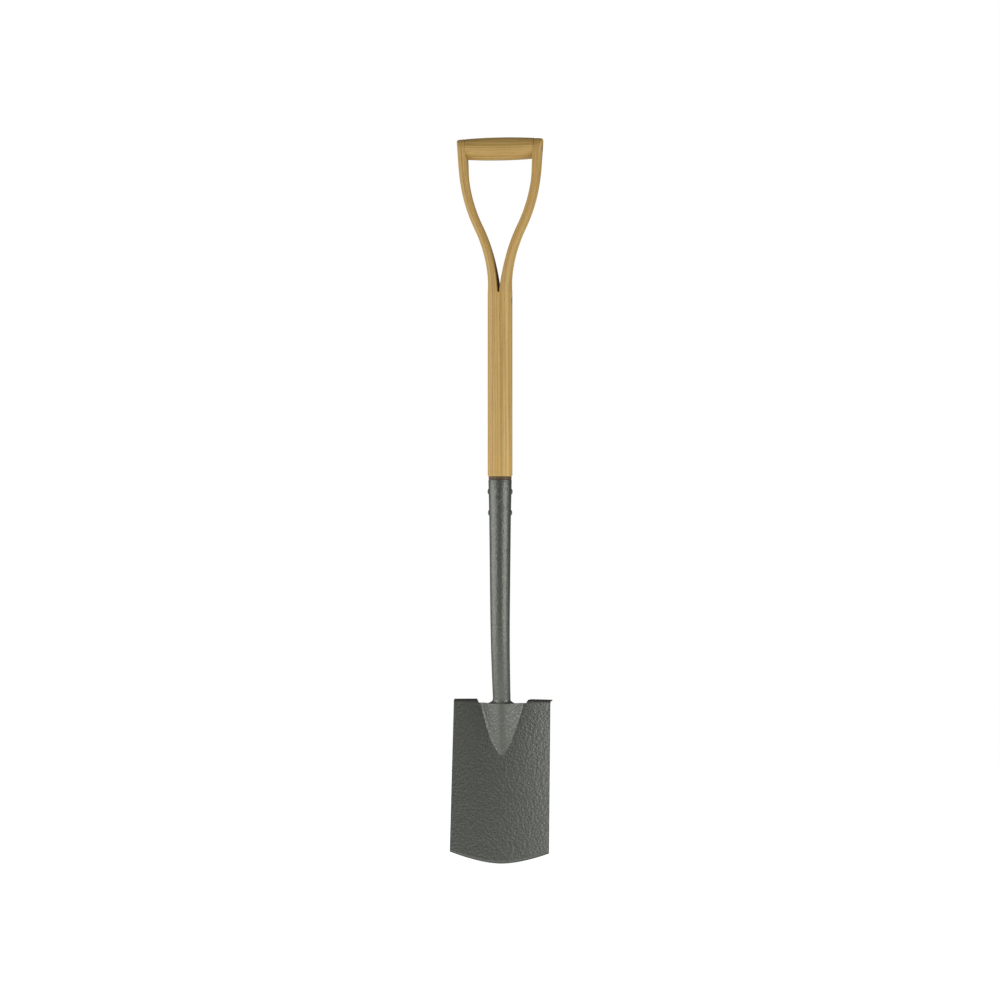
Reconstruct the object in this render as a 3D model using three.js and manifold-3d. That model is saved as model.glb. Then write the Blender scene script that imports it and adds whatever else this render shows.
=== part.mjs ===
// A border spade: an ash Y handle with a turned cross grip, riveted into a cranked steel tube socket
// that is welded to a pressed and dished blade with turned-back treads.
// Millimetres. +Z runs up the handle, +X across the blade, and the hollow digging face looks along -Y.
// Pieces are placed about the handle's axis, with levels counted from the cutting edge. The finished
// group is then lowered so that its origin is where a peg under the grip holds it up.
import * as THREE from "three";
import { mergeVertices } from "three/addons/utils/BufferGeometryUtils.js";
import Module from "manifold-3d";

const wasm = await Module();
wasm.setup();

// ---- Driving dimensions ----

const FIT = 0.3; // gap between two pieces that seat on each other
const ROUND = 32; // sides of a turned piece
const CUT_PAST = 20; // a cutter reaches this far past what it cuts
const ARM_PAST = 4; // a blank runs this far past the arms before it is trimmed
const GRIP_PAST = 3; // and the grip's blank this far into them

// Blade: a pressed sheet whose face rises from the cutting edge and leans back
const BLADE_LENGTH = 228.5; // cutting edge to the tops of the treads
const BLADE_TOP_WIDTH = 136.5;
const BLADE_EDGE_WIDTH = 141;
const SHEET = 2;
const EDGE_THICKNESS = 0.8;
const EDGE_BEVEL = 6; // height over which the sheet thins to its cutting edge
const EDGE_BOW = 17; // the edge's corners stand this far above its middle
const FACE_TOP_Y = 25; // the face's hollow at the treads, behind the handle's axis
const FACE_EDGE_Y = -3.5; // the same at the cutting edge
const DISH_TOP = 8; // hollow of the face across its width
const DISH_EDGE = 7;

// Treads: the sheet's top turned back level on both sides of the frog
const TREAD_DEPTH = 15.5;
const TREAD_BEND = 2.5; // inner radius
const TREAD_GAP = 67; // between the two treads' inner ends, at the front
const TREAD_OVERHANG = 1.2; // each tread's back corner stands this far outside the blade
const TREAD_CHAMFER = 5; // its inner end slants outwards by this much

// Frog: the hollow rib pressed forward where the socket meets the blade
const FROG_HEIGHT = 22;
const FROG_LENGTH = 74;
const FROG_TOP_WIDTH = 61;
const FROG_SPREAD_POWER = 0.6; // how it widens from its tip, 1 for straight sides
const FROG_ROUNDING = 0.48; // roundness of its ridge, 0 for sharp
const FROG_BELOW_TREAD = 4.5; // its top edge lies this far under the treads

// Socket: a tapered tube with a squeezed lower end behind the frog
const SOCKET_LENGTH = 314.7; // above the frog's top edge
const SOCKET_MOUTH_RADIUS = 16.4;
const SOCKET_NECK_RADIUS = 15.2; // below the rivets
const SOCKET_NECK_DEPTH = 54.2; // from the mouth down to the neck
const SOCKET_FOOT_RADIUS = 12.4;
const SOCKET_WALL = 1.8;
const CRANK_HEIGHT = 138; // the tube bends back over this height above the frog
const CRANK_POWER = 2; // how late the bend comes
const TONGUE_LENGTH = 50; // squeezed end below the frog's top edge
const TONGUE_HALF_WIDTH = 7;
const TONGUE_HALF_THICKNESS = 2.6;
const CAVITY_DEPTH = 22; // the bore ends this far below the frog's top edge

// Weld bead round the front of the socket's foot
const WELD_SIDE_LEG = 7.5;
const WELD_FRONT_LEG = 1.7;
const WELD_TOE = 0.5; // its thickness at the top
const WELD_RISE = 6;
const WELD_REACH = THREE.MathUtils.degToRad(95); // to each side of the front

// Handle: a round shaft, split and bent into two arms
const SHAFT_RADIUS = 17.4;
const SHOULDER_CHAMFER = 1.2;
const NECK_RADIUS = 16.1; // bare wood between the socket's mouth and the shoulder
const NECK_HEIGHT = 4.8;
const TANG_LENGTH = 114; // inside the socket
const SHAFT_LENGTH = 262.8; // socket mouth to the crotch
const KERF = 2.4; // width of the split at the crotch
const GRIP_HEIGHT = 202; // crotch to the grip's axis
const CROTCH_BEND_RADIUS = 210;
const SHOULDER_BEND_RADIUS = 217;
const SPREAD_ANGLE = THREE.MathUtils.degToRad(26);
const ARM_TOP_LEAN = THREE.MathUtils.degToRad(4);
const ARM_THICKNESS = 11.8;
const ARM_THINNING = 25; // length over which the split half thins to the arm
const ARM_DEPTH = 27;
const ARM_INNER_ROUND = 3.5; // how far the rounding of its inner edges reaches into its thickness
const ARM_DEPTH_FADE = 90; // length over which the shaft's depth falls to the arm's

// Grip: a barrel turned about X between the arms
const GRIP_RADIUS = 16.1;
const GRIP_END_RADIUS = 14.5; // where it meets the arms
const GRIP_TENON_RADIUS = 7;
const GRIP_TENON_LENGTH = 4;

// Rivets
const GRIP_RIVET_RADIUS = 2.5;
const CROTCH_RIVET_RADIUS = 2;
const CROTCH_RIVET_DROP = 12; // below the crotch
const BURR_RADIUS = 5;
const BURR_THICKNESS = 1;
const FLUSH_HEAD_RADIUS = 4;
const FLUSH_HEAD_THICKNESS = 1.2;
const FLUSH_HEAD_CHAMFER = 0.5;
const SOCKET_RIVET_RADIUS = 2.4;
const SOCKET_HEAD_RADIUS = 3.8;
const SOCKET_HEAD_HEIGHT = 1.9;
const FRONT_HEAD_RADIUS = 4.6;
const FRONT_HEAD_HEIGHT = 1.2;
const UPPER_RIVET_DEPTH = 16.4; // below the socket's mouth
const LOWER_RIVET_DEPTH = 46;
const FRONT_RIVET_DEPTH = 27.5;

// ---- Levels and shapes that follow from them ----

const treadOuterRadius = TREAD_BEND + SHEET;
const lean = Math.atan2(FACE_TOP_Y - FACE_EDGE_Y, BLADE_LENGTH);
const foldLevel = BLADE_LENGTH - treadOuterRadius * (1 - Math.sin(lean));
const frogTop = BLADE_LENGTH - FROG_BELOW_TREAD;
const frogApex = frogTop - FROG_LENGTH;
const mouthLevel = frogTop + SOCKET_LENGTH;
const crotchLevel = mouthLevel + SHAFT_LENGTH;
const gripLevel = crotchLevel + GRIP_HEIGHT;
const tongueEnd = frogTop - TONGUE_LENGTH;

const { lerp, clamp, smoothstep } = THREE.MathUtils;
const share = (value, from, to) => clamp((value - from) / (to - from), 0, 1);

// ---- Helpers ----

// A closed geometry as a manifold-3d solid.
function solid(geometry) {
  const bare = geometry.index ? geometry.toNonIndexed() : geometry.clone();
  bare.deleteAttribute("normal");
  bare.deleteAttribute("uv");
  const merged = mergeVertices(bare, 1e-4);
  return new wasm.Manifold(
    new wasm.Mesh({
      numProp: 3,
      vertProperties: merged.attributes.position.array,
      triVerts: new Uint32Array(merged.index.array),
    }),
  );
}

function geometryOf(made) {
  const mesh = made.getMesh();
  return new THREE.BufferGeometry()
    .setAttribute("position", new THREE.BufferAttribute(mesh.vertProperties, 3))
    .setIndex(new THREE.BufferAttribute(mesh.triVerts, 1))
    .toNonIndexed();
}

// A box of cells whose lattice points (i, j, k) are put where place says.
function lattice(ni, nj, nk, place) {
  const geometry = new THREE.BoxGeometry(ni, nj, nk, ni, nj, nk);
  const position = geometry.attributes.position;
  for (let n = 0; n < position.count; n++) {
    const i = Math.round(position.getX(n) + ni / 2);
    const j = Math.round(position.getY(n) + nj / 2);
    const k = Math.round(position.getZ(n) + nk / 2);
    position.setXYZ(n, ...place(i, j, k));
  }
  return geometry;
}

// A profile of [radius, height] points turned about Z. It runs up the outside from the axis.
function turned(profile, sides = ROUND) {
  const points = profile.map(([radius, height]) => new THREE.Vector2(radius, height));
  return new THREE.LatheGeometry(points, sides).rotateX(Math.PI / 2);
}

function warp(geometry, move) {
  const position = geometry.attributes.position;
  for (let n = 0; n < position.count; n++)
    position.setXYZ(n, ...move(position.getX(n), position.getY(n), position.getZ(n)));
  return geometry;
}

// A cylinder along X, or along Y, through the handle's axis at a level.
function crossBar(radius, length, level, alongY = false) {
  const bar = new THREE.CylinderGeometry(radius, radius, length, 16);
  return (alongY ? bar : bar.rotateZ(Math.PI / 2)).translate(0, 0, level);
}

// ---- Blade ----

const halfWidth = (z) => lerp(BLADE_EDGE_WIDTH, BLADE_TOP_WIDTH, share(z, 0, foldLevel)) / 2;
const faceY = (z) => lerp(FACE_EDGE_Y, FACE_TOP_Y, z / foldLevel);
const dishAt = (x, z) => lerp(DISH_EDGE, DISH_TOP, share(z, 0, foldLevel)) * (x / halfWidth(z)) ** 2;
const frogShare = (z) => Math.max(0, (z - frogApex) / FROG_LENGTH);
const frogHalfWidth = (z) => (FROG_TOP_WIDTH / 2) * frogShare(z) ** FROG_SPREAD_POWER;

function frogRise(x, z) {
  const across = Math.min(1, Math.abs(x) / Math.max(frogHalfWidth(z), 1e-6));
  const flank = Math.hypot(1, FROG_ROUNDING);
  const crown = (flank - Math.hypot(across, FROG_ROUNDING)) / (flank - FROG_ROUNDING);
  return FROG_HEIGHT * frogShare(z) * crown;
}

const faceFront = (x, z) => faceY(z) - dishAt(x, z) - frogRise(x, z);

const INNER_COLUMNS = 5; // cells from the middle to the frog's edge
const OUTER_COLUMNS = 6; // from there to the blade's side
const LOWER_ROWS = 9; // from the cutting edge to the frog's tip
const FROG_ROWS = 9; // from there to the fold
const BEND_ROWS = 4;

// Half the width that the inner columns span, which follows the frog's two edges.
function columnSplit(z) {
  const spread = z > frogApex ? frogHalfWidth(z) : (FROG_TOP_WIDTH / 2) * (1 - z / frogApex);
  return Math.max(spread, 1.2);
}

function columnX(i, z) {
  const n = i - INNER_COLUMNS - OUTER_COLUMNS;
  const cells = Math.abs(n);
  const split = columnSplit(z);
  if (cells <= INNER_COLUMNS) return Math.sign(n) * split * (cells / INNER_COLUMNS) ** 1.25;
  return Math.sign(n) * lerp(split, halfWidth(z), (cells - INNER_COLUMNS) / OUTER_COLUMNS);
}

// The sheet below the fold. side is 0 on the front and 1 on the back.
function facePoint(i, side, row) {
  const nominal =
    row <= 1
      ? EDGE_BEVEL * row
      : row <= LOWER_ROWS
        ? lerp(EDGE_BEVEL, frogApex, (row - 1) / (LOWER_ROWS - 1))
        : lerp(frogApex, foldLevel, (row - LOWER_ROWS) / FROG_ROWS);
  const x = columnX(i, nominal);
  const bow = EDGE_BOW * (x / halfWidth(0)) ** 2 * (1 - share(nominal, 0, frogApex));
  const thickness = row === 0 ? EDGE_THICKNESS : SHEET;
  const z = nominal + bow;
  return [x, faceFront(x, z) + side * thickness * Math.cos(lean), z - side * thickness * Math.sin(lean)];
}

// The sheet above the fold: bent back level on both sides. The middle is cut away afterwards.
function treadPoint(i, side, row) {
  const [x, front, level] = facePoint(i, 0, LOWER_ROWS + FROG_ROWS);
  if (Math.abs(i - INNER_COLUMNS - OUTER_COLUMNS) < INNER_COLUMNS)
    return [x, front + side * SHEET * Math.cos(lean), level + row - side * SHEET * Math.sin(lean)];
  const turn = lerp(lean, Math.PI / 2, Math.min(1, row / BEND_ROWS));
  const radius = treadOuterRadius - side * SHEET;
  const centreY = front + treadOuterRadius * Math.cos(lean);
  const centreZ = level - treadOuterRadius * Math.sin(lean);
  const back = row > BEND_ROWS ? TREAD_DEPTH - treadOuterRadius : 0;
  const widen = 1 + (back > 0 ? TREAD_OVERHANG / halfWidth(foldLevel) : 0);
  return [x * widen, centreY - radius * Math.cos(turn) + back, centreZ + radius * Math.sin(turn)];
}

function bladeGeometry() {
  const faceRows = LOWER_ROWS + FROG_ROWS;
  const sheet = lattice(2 * (INNER_COLUMNS + OUTER_COLUMNS), 1, faceRows + BEND_ROWS + 1, (i, j, k) =>
    k <= faceRows ? facePoint(i, j, k) : treadPoint(i, j, k - faceRows),
  );
  const notchHalf = TREAD_GAP / 2;
  const rearHalf = notchHalf + TREAD_CHAMFER;
  const treadBack = FACE_TOP_Y + TREAD_DEPTH;
  const treadFront = FACE_TOP_Y - DISH_TOP;
  const plan = new THREE.Shape([
    new THREE.Vector2(-notchHalf, treadFront - 2 * FROG_HEIGHT),
    new THREE.Vector2(notchHalf, treadFront - 2 * FROG_HEIGHT),
    new THREE.Vector2(notchHalf, treadFront),
    new THREE.Vector2(rearHalf, treadBack),
    new THREE.Vector2(rearHalf, treadBack + TREAD_DEPTH),
    new THREE.Vector2(-rearHalf, treadBack + TREAD_DEPTH),
    new THREE.Vector2(-rearHalf, treadBack),
    new THREE.Vector2(-notchHalf, treadFront),
  ]);
  const depth = BLADE_LENGTH - frogTop + CUT_PAST;
  const notch = new THREE.ExtrudeGeometry(plan, { depth, bevelEnabled: false });
  return geometryOf(solid(sheet).subtract(solid(notch.translate(0, 0, frogTop))));
}

// ---- Socket ----

const tongueShare = (z) => share(z, frogTop, tongueEnd);
const socketHalfWidth = (z) => lerp(SOCKET_FOOT_RADIUS, TONGUE_HALF_WIDTH, tongueShare(z));
const socketHalfDepth = (z) => lerp(SOCKET_FOOT_RADIUS, TONGUE_HALF_THICKNESS, tongueShare(z));

function socketRadius(z) {
  const neckLevel = mouthLevel - SOCKET_NECK_DEPTH;
  if (z > neckLevel) return lerp(SOCKET_NECK_RADIUS, SOCKET_MOUTH_RADIUS, share(z, neckLevel, mouthLevel));
  return lerp(SOCKET_FOOT_RADIUS, SOCKET_NECK_RADIUS, share(z, frogTop, neckLevel));
}

// How far back the tube's centre lies where its front just clears the frog's hollow.
function seatBehindFrog(z) {
  const steps = 12;
  let seat = -Infinity;
  for (let n = 0; n <= steps; n++) {
    const x = (socketHalfWidth(z) * n) / steps;
    const bulge = socketHalfDepth(z) * Math.sqrt(1 - (n / steps) ** 2);
    seat = Math.max(seat, faceFront(x, z) + SHEET / Math.cos(lean) + bulge);
  }
  return seat + FIT;
}

function socketCentreY(z) {
  if (z <= frogTop) return seatBehindFrog(z);
  return seatBehindFrog(frogTop) * share(z, frogTop + CRANK_HEIGHT, frogTop) ** CRANK_POWER;
}

// The socket's outside is squeezed below the frog's top edge and shifted back along its crank.
const crankedPoint = (x, y, z) => [
  (x * socketHalfWidth(z)) / SOCKET_FOOT_RADIUS,
  (y * socketHalfDepth(z)) / SOCKET_FOOT_RADIUS + socketCentreY(z),
  z,
];

// Levels from the tongue's end to the mouth, close together where the tube bends.
function socketLevels(from) {
  const steps = 12;
  const crank = Array.from({ length: steps + 1 }, (_, n) => frogTop + (CRANK_HEIGHT * n) / steps);
  const tongue = [0, 0.2, 0.4, 0.6, 0.8].map((part) => lerp(tongueEnd, frogTop, part));
  return [...tongue, ...crank, mouthLevel - SOCKET_NECK_DEPTH, mouthLevel].filter((z) => z > from);
}

function socketBody(margin) {
  const outside = socketLevels(tongueEnd - 1).map((z) => [socketRadius(z) + margin, z]);
  return solid(warp(turned([[0, tongueEnd - margin], ...outside, [0, mouthLevel]]), crankedPoint));
}

function socketBore() {
  const floor = frogTop - CAVITY_DEPTH;
  const above = mouthLevel + 5;
  const wall = socketLevels(floor).map((z) => [socketRadius(z) - SOCKET_WALL, z]);
  const start = socketRadius(floor) - SOCKET_WALL;
  const end = SOCKET_MOUTH_RADIUS - SOCKET_WALL;
  return solid(warp(turned([[0, floor], [start, floor], ...wall, [end, above], [0, above]]), crankedPoint));
}

const rivetLevels = {
  socket_rivet_upper: mouthLevel - UPPER_RIVET_DEPTH,
  socket_rivet_lower: mouthLevel - LOWER_RIVET_DEPTH,
  socket_rivet_front: mouthLevel - FRONT_RIVET_DEPTH,
};
const runsAlongY = (name) => name === "socket_rivet_front";

// Holes for the three rivets, as wide as the rivets and their gap.
function drillForRivets(body) {
  return Object.entries(rivetLevels).reduce((left, [name, level]) => {
    const length = 4 * SOCKET_MOUTH_RADIUS;
    return left.subtract(solid(crossBar(SOCKET_RIVET_RADIUS + FIT, length, level, runsAlongY(name))));
  }, body);
}

const socketGeometry = () => geometryOf(drillForRivets(socketBody(0).subtract(socketBore())));

// ---- Weld bead ----

// A hollow fillet on the frog's top edge, round the front of the tube's foot.
function weldGeometry() {
  const arcs = 20;
  const rises = 4;
  return lattice(arcs, 1, rises, (i, j, k) => {
    const angle = lerp(-WELD_REACH, WELD_REACH, i / arcs);
    const level = frogTop + FIT + (WELD_RISE * k) / rises;
    const leg = lerp(WELD_FRONT_LEG, WELD_SIDE_LEG, Math.sin(angle) ** 2);
    const thickness = WELD_TOE + leg * (1 - k / rises) ** 2;
    const radius = socketRadius(level) + FIT + j * thickness;
    return [-radius * Math.sin(angle), socketCentreY(level) - radius * Math.cos(angle), level];
  });
}

// ---- Handle shaft with its two arms ----

const armStart = KERF / 2 + halfThickness(0);

// Half the arm's thickness at a length along it from the crotch.
function halfThickness(length) {
  const split = SHAFT_RADIUS - KERF / 2;
  return lerp(ARM_THICKNESS, split, Math.exp(-length / ARM_THINNING)) / 2;
}

// The arm's centre line as stations: x, level, the angle that it leans out by and the length so far.
function armStations() {
  const bendSteps = 8;
  const straightSteps = 3;
  const stations = [];
  let x = armStart;
  let z = crotchLevel;
  let length = 0;
  for (let n = 0; n <= bendSteps; n++) {
    const angle = (SPREAD_ANGLE * n) / bendSteps;
    stations.push({
      x: x + CROTCH_BEND_RADIUS * (1 - Math.cos(angle)),
      z: z + CROTCH_BEND_RADIUS * Math.sin(angle),
      angle,
      length: CROTCH_BEND_RADIUS * angle,
    });
  }
  ({ x, z, length } = stations.at(-1));
  for (let n = 1; n <= bendSteps; n++) {
    const angle = lerp(SPREAD_ANGLE, ARM_TOP_LEAN, n / bendSteps);
    stations.push({
      x: x + SHOULDER_BEND_RADIUS * (Math.cos(angle) - Math.cos(SPREAD_ANGLE)),
      z: z + SHOULDER_BEND_RADIUS * (Math.sin(SPREAD_ANGLE) - Math.sin(angle)),
      angle,
      length: length + SHOULDER_BEND_RADIUS * (SPREAD_ANGLE - angle),
    });
  }
  ({ x, z, length } = stations.at(-1));
  const rise = gripLevel + GRIP_RADIUS + ARM_PAST - z;
  for (let n = 1; n <= straightSteps; n++) {
    const up = (rise * n) / straightSteps;
    stations.push({
      x: x + up * Math.tan(ARM_TOP_LEAN),
      z: z + up,
      angle: ARM_TOP_LEAN,
      length: length + up / Math.cos(ARM_TOP_LEAN),
    });
  }
  return stations;
}

const stations = armStations();

// How far out the arm's inner and outer faces are at the grip's axis.
function armFaceAtGrip(side) {
  const above = stations.findIndex(({ z }) => z > gripLevel);
  const [low, high] = stations.slice(above - 1, above + 1);
  const part = share(gripLevel, low.z, high.z);
  const angle = lerp(low.angle, high.angle, part);
  return lerp(low.x, high.x, part) + (side * ARM_THICKNESS) / 2 / Math.cos(angle);
}

const armInnerFace = armFaceAtGrip(-1);
const armOuterFace = armFaceAtGrip(1);

// The right arm: half of the round shaft at the crotch, and a rounded oblong by the time it is bent.
function armBody() {
  const arm = new THREE.CylinderGeometry(1, 1, stations.length - 1, ROUND, stations.length - 1);
  arm.rotateX(Math.PI / 2).translate(0, 0, (stations.length - 1) / 2);
  return solid(
    warp(arm, (u, v, k) => {
      const { x, z, angle, length } = stations[Math.round(k)];
      const half = halfThickness(length);
      const formed = smoothstep(length, 0, ARM_DEPTH_FADE);
      const power = 2 / lerp(2, 2.7, formed);
      const inner = lerp(0, ARM_INNER_ROUND, formed);
      const outer = 2 * half - inner;
      const depth = lerp(SHAFT_RADIUS, ARM_DEPTH / 2, formed);
      const out = inner - half + (u > 0 ? outer : inner) * Math.sign(u) * Math.abs(u) ** power;
      const side = depth * Math.sign(v) * Math.abs(v) ** power;
      return [x + out * Math.cos(angle), side, z - out * Math.sin(angle)];
    }),
  );
}

// The room that the grip leaves for the right arm: all that lies outwards of the arm's inner face.
function armRoom() {
  const reach = 3 * ARM_THICKNESS;
  return solid(
    lattice(1, 1, stations.length - 1, (i, j, k) => {
      const { x, z, angle, length } = stations[k];
      const out = i === 0 ? -halfThickness(length) - FIT : reach;
      return [x + out * Math.cos(angle), lerp(-ARM_DEPTH, ARM_DEPTH, j), z - out * Math.sin(angle)];
    }),
  );
}

// The barrel's radius at a distance from the middle: an arc that also rounds the arms' tops.
function barrelRadius(x) {
  const drop = GRIP_RADIUS - GRIP_END_RADIUS;
  return GRIP_RADIUS - drop * (x / armInnerFace) ** 2;
}

function barrel(halfLength) {
  const steps = 10;
  const wall = Array.from({ length: steps + 1 }, (_, n) => lerp(-halfLength, halfLength, n / steps));
  const profile = [[0, -halfLength], ...wall.map((x) => [barrelRadius(x), x]), [0, halfLength]];
  return solid(turned(profile).rotateY(Math.PI / 2).translate(0, 0, gripLevel));
}

// The counterbored hole for a flush rivet that runs right through along X between two outer faces.
function flushRivetHole(radius, level, outerFace) {
  const sink = BURR_THICKNESS + FLUSH_HEAD_THICKNESS + 3 * FIT;
  const well = crossBar(BURR_RADIUS + FIT, 20, level);
  return solid(crossBar(radius + FIT, 2 * outerFace + CUT_PAST, level))
    .add(solid(well.clone().translate(outerFace - sink + 10, 0, 0)))
    .add(solid(well.translate(-outerFace + sink - 10, 0, 0)));
}

function shaftGeometry() {
  const tangEnd = mouthLevel - TANG_LENGTH;
  const neckLevel = mouthLevel - SOCKET_NECK_DEPTH;
  const neckFoot = mouthLevel + FIT;
  const tang = [tangEnd, neckLevel, neckFoot].map((z) => [socketRadius(z) - SOCKET_WALL - FIT, z]);
  const shoulder = mouthLevel + NECK_HEIGHT;
  const round = solid(
    turned([
      [0, tangEnd],
      ...tang,
      [NECK_RADIUS, neckFoot],
      [NECK_RADIUS, shoulder],
      [SHAFT_RADIUS, shoulder + SHOULDER_CHAMFER],
      [SHAFT_RADIUS, crotchLevel],
      [0, crotchLevel],
    ]),
  );
  const below = new THREE.BoxGeometry(4 * armOuterFace, 4 * SHAFT_RADIUS, gripLevel);
  const trim = barrel(armOuterFace + ARM_PAST).add(solid(below.translate(0, 0, gripLevel / 2)));
  const right = armBody();
  const arms = right.add(right.rotate([0, 0, 180])).intersect(trim);
  const mortiseSpan = 2 * (armInnerFace + GRIP_TENON_LENGTH + FIT);
  const mortises = solid(crossBar(GRIP_TENON_RADIUS + FIT, mortiseSpan, gripLevel));
  const drilled = round
    .add(arms)
    .subtract(mortises)
    .subtract(flushRivetHole(GRIP_RIVET_RADIUS, gripLevel, armOuterFace))
    .subtract(flushRivetHole(CROTCH_RIVET_RADIUS, crotchLevel - CROTCH_RIVET_DROP, SHAFT_RADIUS));
  return geometryOf(drillForRivets(drilled));
}

// ---- Grip ----

function gripGeometry() {
  const tenons = solid(crossBar(GRIP_TENON_RADIUS, 2 * (armInnerFace + GRIP_TENON_LENGTH - FIT), gripLevel));
  const room = armRoom();
  const body = barrel(armInnerFace + GRIP_PAST).subtract(room).subtract(room.rotate([0, 0, 180])).add(tenons);
  return geometryOf(body.subtract(solid(crossBar(GRIP_RIVET_RADIUS + FIT, 4 * armOuterFace, gripLevel))));
}

// ---- Rivets and burrs ----

// A rivet along X whose two flat heads lie over burrs, just inside the outer faces.
function flushRivetGeometry(radius, level, outerFace) {
  const headOuter = outerFace - FIT;
  const headInner = headOuter - FLUSH_HEAD_THICKNESS;
  const half = [
    [radius, 0],
    [radius, headInner],
    [FLUSH_HEAD_RADIUS, headInner],
    [FLUSH_HEAD_RADIUS - FLUSH_HEAD_CHAMFER, headOuter],
    [0, headOuter],
  ];
  const mirrored = half.map(([r, x]) => [r, -x]).reverse().slice(0, -1);
  return turned([...mirrored, ...half.slice(1)], 20).rotateY(Math.PI / 2).translate(0, 0, level);
}

function burrGeometry(radius, level, outerFace, sign) {
  const centre = outerFace - FLUSH_HEAD_THICKNESS - 2 * FIT - BURR_THICKNESS / 2;
  const half = BURR_THICKNESS / 2;
  const hole = radius + FIT;
  const ring = [[hole, half], [hole, -half], [BURR_RADIUS, -half], [BURR_RADIUS, half], [hole, half]];
  return turned(ring, 20).rotateY(Math.PI / 2).translate(sign * centre, 0, level);
}

// A domed head's outline from its rim inwards, standing on a seat at a distance from the axis.
function domeOutline(radius, height, seat) {
  const steps = 5;
  return Array.from({ length: steps + 1 }, (_, n) => {
    const angle = (Math.PI / 2) * (n / steps);
    return [n === steps ? 0 : radius * Math.cos(angle), seat + height * Math.sin(angle)];
  });
}

function socketRivetGeometry(name) {
  const level = rivetLevels[name];
  const front = runsAlongY(name);
  const radius = front ? FRONT_HEAD_RADIUS : SOCKET_HEAD_RADIUS;
  const height = front ? FRONT_HEAD_HEIGHT : SOCKET_HEAD_HEIGHT;
  const seat = socketRadius(level) + FIT;
  const half = [[SOCKET_RIVET_RADIUS, seat], ...domeOutline(radius, height, seat)];
  const mirrored = half.map(([r, along]) => [r, -along]).reverse();
  const rivet = turned([...mirrored, ...half], 20);
  return (front ? rivet.rotateX(-Math.PI / 2) : rivet.rotateY(Math.PI / 2)).translate(0, 0, level);
}

// ---- Materials and assembly ----

function material(color, roughness, metalness) {
  return new THREE.MeshStandardMaterial({ color, roughness, metalness });
}

const hammeredPaint = material("#595b56", 0.45, 0.55);
const ash = material("#b8945a", 0.5, 0);
const zincSteel = material("#9a9b98", 0.4, 1);

const spade = new THREE.Group();
spade.name = "border_spade";

function addPiece(name, geometry, finish) {
  const mesh = new THREE.Mesh(geometry, finish);
  mesh.name = name;
  spade.add(mesh);
}

// A rivet along X with a burr under each head.
function addFlushRivet(place, radius, level, outerFace) {
  addPiece(`${place}_rivet`, flushRivetGeometry(radius, level, outerFace), zincSteel);
  addPiece(`${place}_burr_right`, burrGeometry(radius, level, outerFace, 1), zincSteel);
  addPiece(`${place}_burr_left`, burrGeometry(radius, level, outerFace, -1), zincSteel);
}

addPiece("blade", bladeGeometry(), hammeredPaint);
addPiece("socket", socketGeometry(), hammeredPaint);
addPiece("weld_bead", weldGeometry(), hammeredPaint);
addPiece("handle_shaft", shaftGeometry(), ash);
addPiece("hand_grip", gripGeometry(), ash);
addFlushRivet("grip", GRIP_RIVET_RADIUS, gripLevel, armOuterFace);
addFlushRivet("crotch", CROTCH_RIVET_RADIUS, crotchLevel - CROTCH_RIVET_DROP, SHAFT_RADIUS);
for (const name of Object.keys(rivetLevels)) addPiece(name, socketRivetGeometry(name), hammeredPaint);

spade.position.z = GRIP_RADIUS - gripLevel;

export default spade;
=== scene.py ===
"""Border spade: an ash Y handle riveted into a cranked steel socket that is welded to a pressed blade.

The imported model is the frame. Every piece here takes its place from it and stands for one of its nodes.
Lengths are metres, +Z runs up the handle and the blade's hollow face looks along -Y.
"""
import math

import bmesh
import bpy
from bpy.props import FloatProperty, FloatVectorProperty, IntProperty, PointerProperty
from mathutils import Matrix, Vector


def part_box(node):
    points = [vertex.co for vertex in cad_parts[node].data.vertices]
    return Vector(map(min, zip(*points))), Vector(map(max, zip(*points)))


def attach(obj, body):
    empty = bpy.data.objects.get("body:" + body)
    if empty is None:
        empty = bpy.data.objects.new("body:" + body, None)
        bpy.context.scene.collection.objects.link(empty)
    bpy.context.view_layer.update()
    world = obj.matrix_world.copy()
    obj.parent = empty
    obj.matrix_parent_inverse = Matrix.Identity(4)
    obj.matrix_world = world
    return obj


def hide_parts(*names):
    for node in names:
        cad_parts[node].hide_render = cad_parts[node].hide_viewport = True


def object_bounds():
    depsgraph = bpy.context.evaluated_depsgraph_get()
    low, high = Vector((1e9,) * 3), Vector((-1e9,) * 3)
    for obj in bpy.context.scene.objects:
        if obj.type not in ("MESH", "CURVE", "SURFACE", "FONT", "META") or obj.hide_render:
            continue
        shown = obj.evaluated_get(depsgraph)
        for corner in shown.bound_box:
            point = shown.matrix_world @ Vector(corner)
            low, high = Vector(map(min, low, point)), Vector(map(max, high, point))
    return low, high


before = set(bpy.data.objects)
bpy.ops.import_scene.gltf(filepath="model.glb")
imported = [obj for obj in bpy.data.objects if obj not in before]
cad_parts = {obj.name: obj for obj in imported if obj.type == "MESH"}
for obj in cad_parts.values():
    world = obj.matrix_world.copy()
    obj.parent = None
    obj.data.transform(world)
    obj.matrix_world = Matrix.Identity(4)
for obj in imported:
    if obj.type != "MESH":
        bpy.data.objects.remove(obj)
CAD_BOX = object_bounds()

bl_info = {
    "name": "Border Spade",
    "version": (1, 0, 0),
    "blender": (4, 5, 0),
    "location": "3D View > Sidebar > Spade",
    "description": "Builds a border spade with an ash Y handle and a hammered paint blade",
    "category": "Add Mesh",
}

MM = 0.001
FIT = 0.3 * MM  # gap that two pieces of the frame keep
SINK = 0.1 * MM  # how far a painted piece is let into what it is painted together with


# ---- Places that the frame gives ----


def low(node):
    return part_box(node)[0]


def high(node):
    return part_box(node)[1]


def middle(node):
    lo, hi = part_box(node)
    return (lo + hi) / 2


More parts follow.
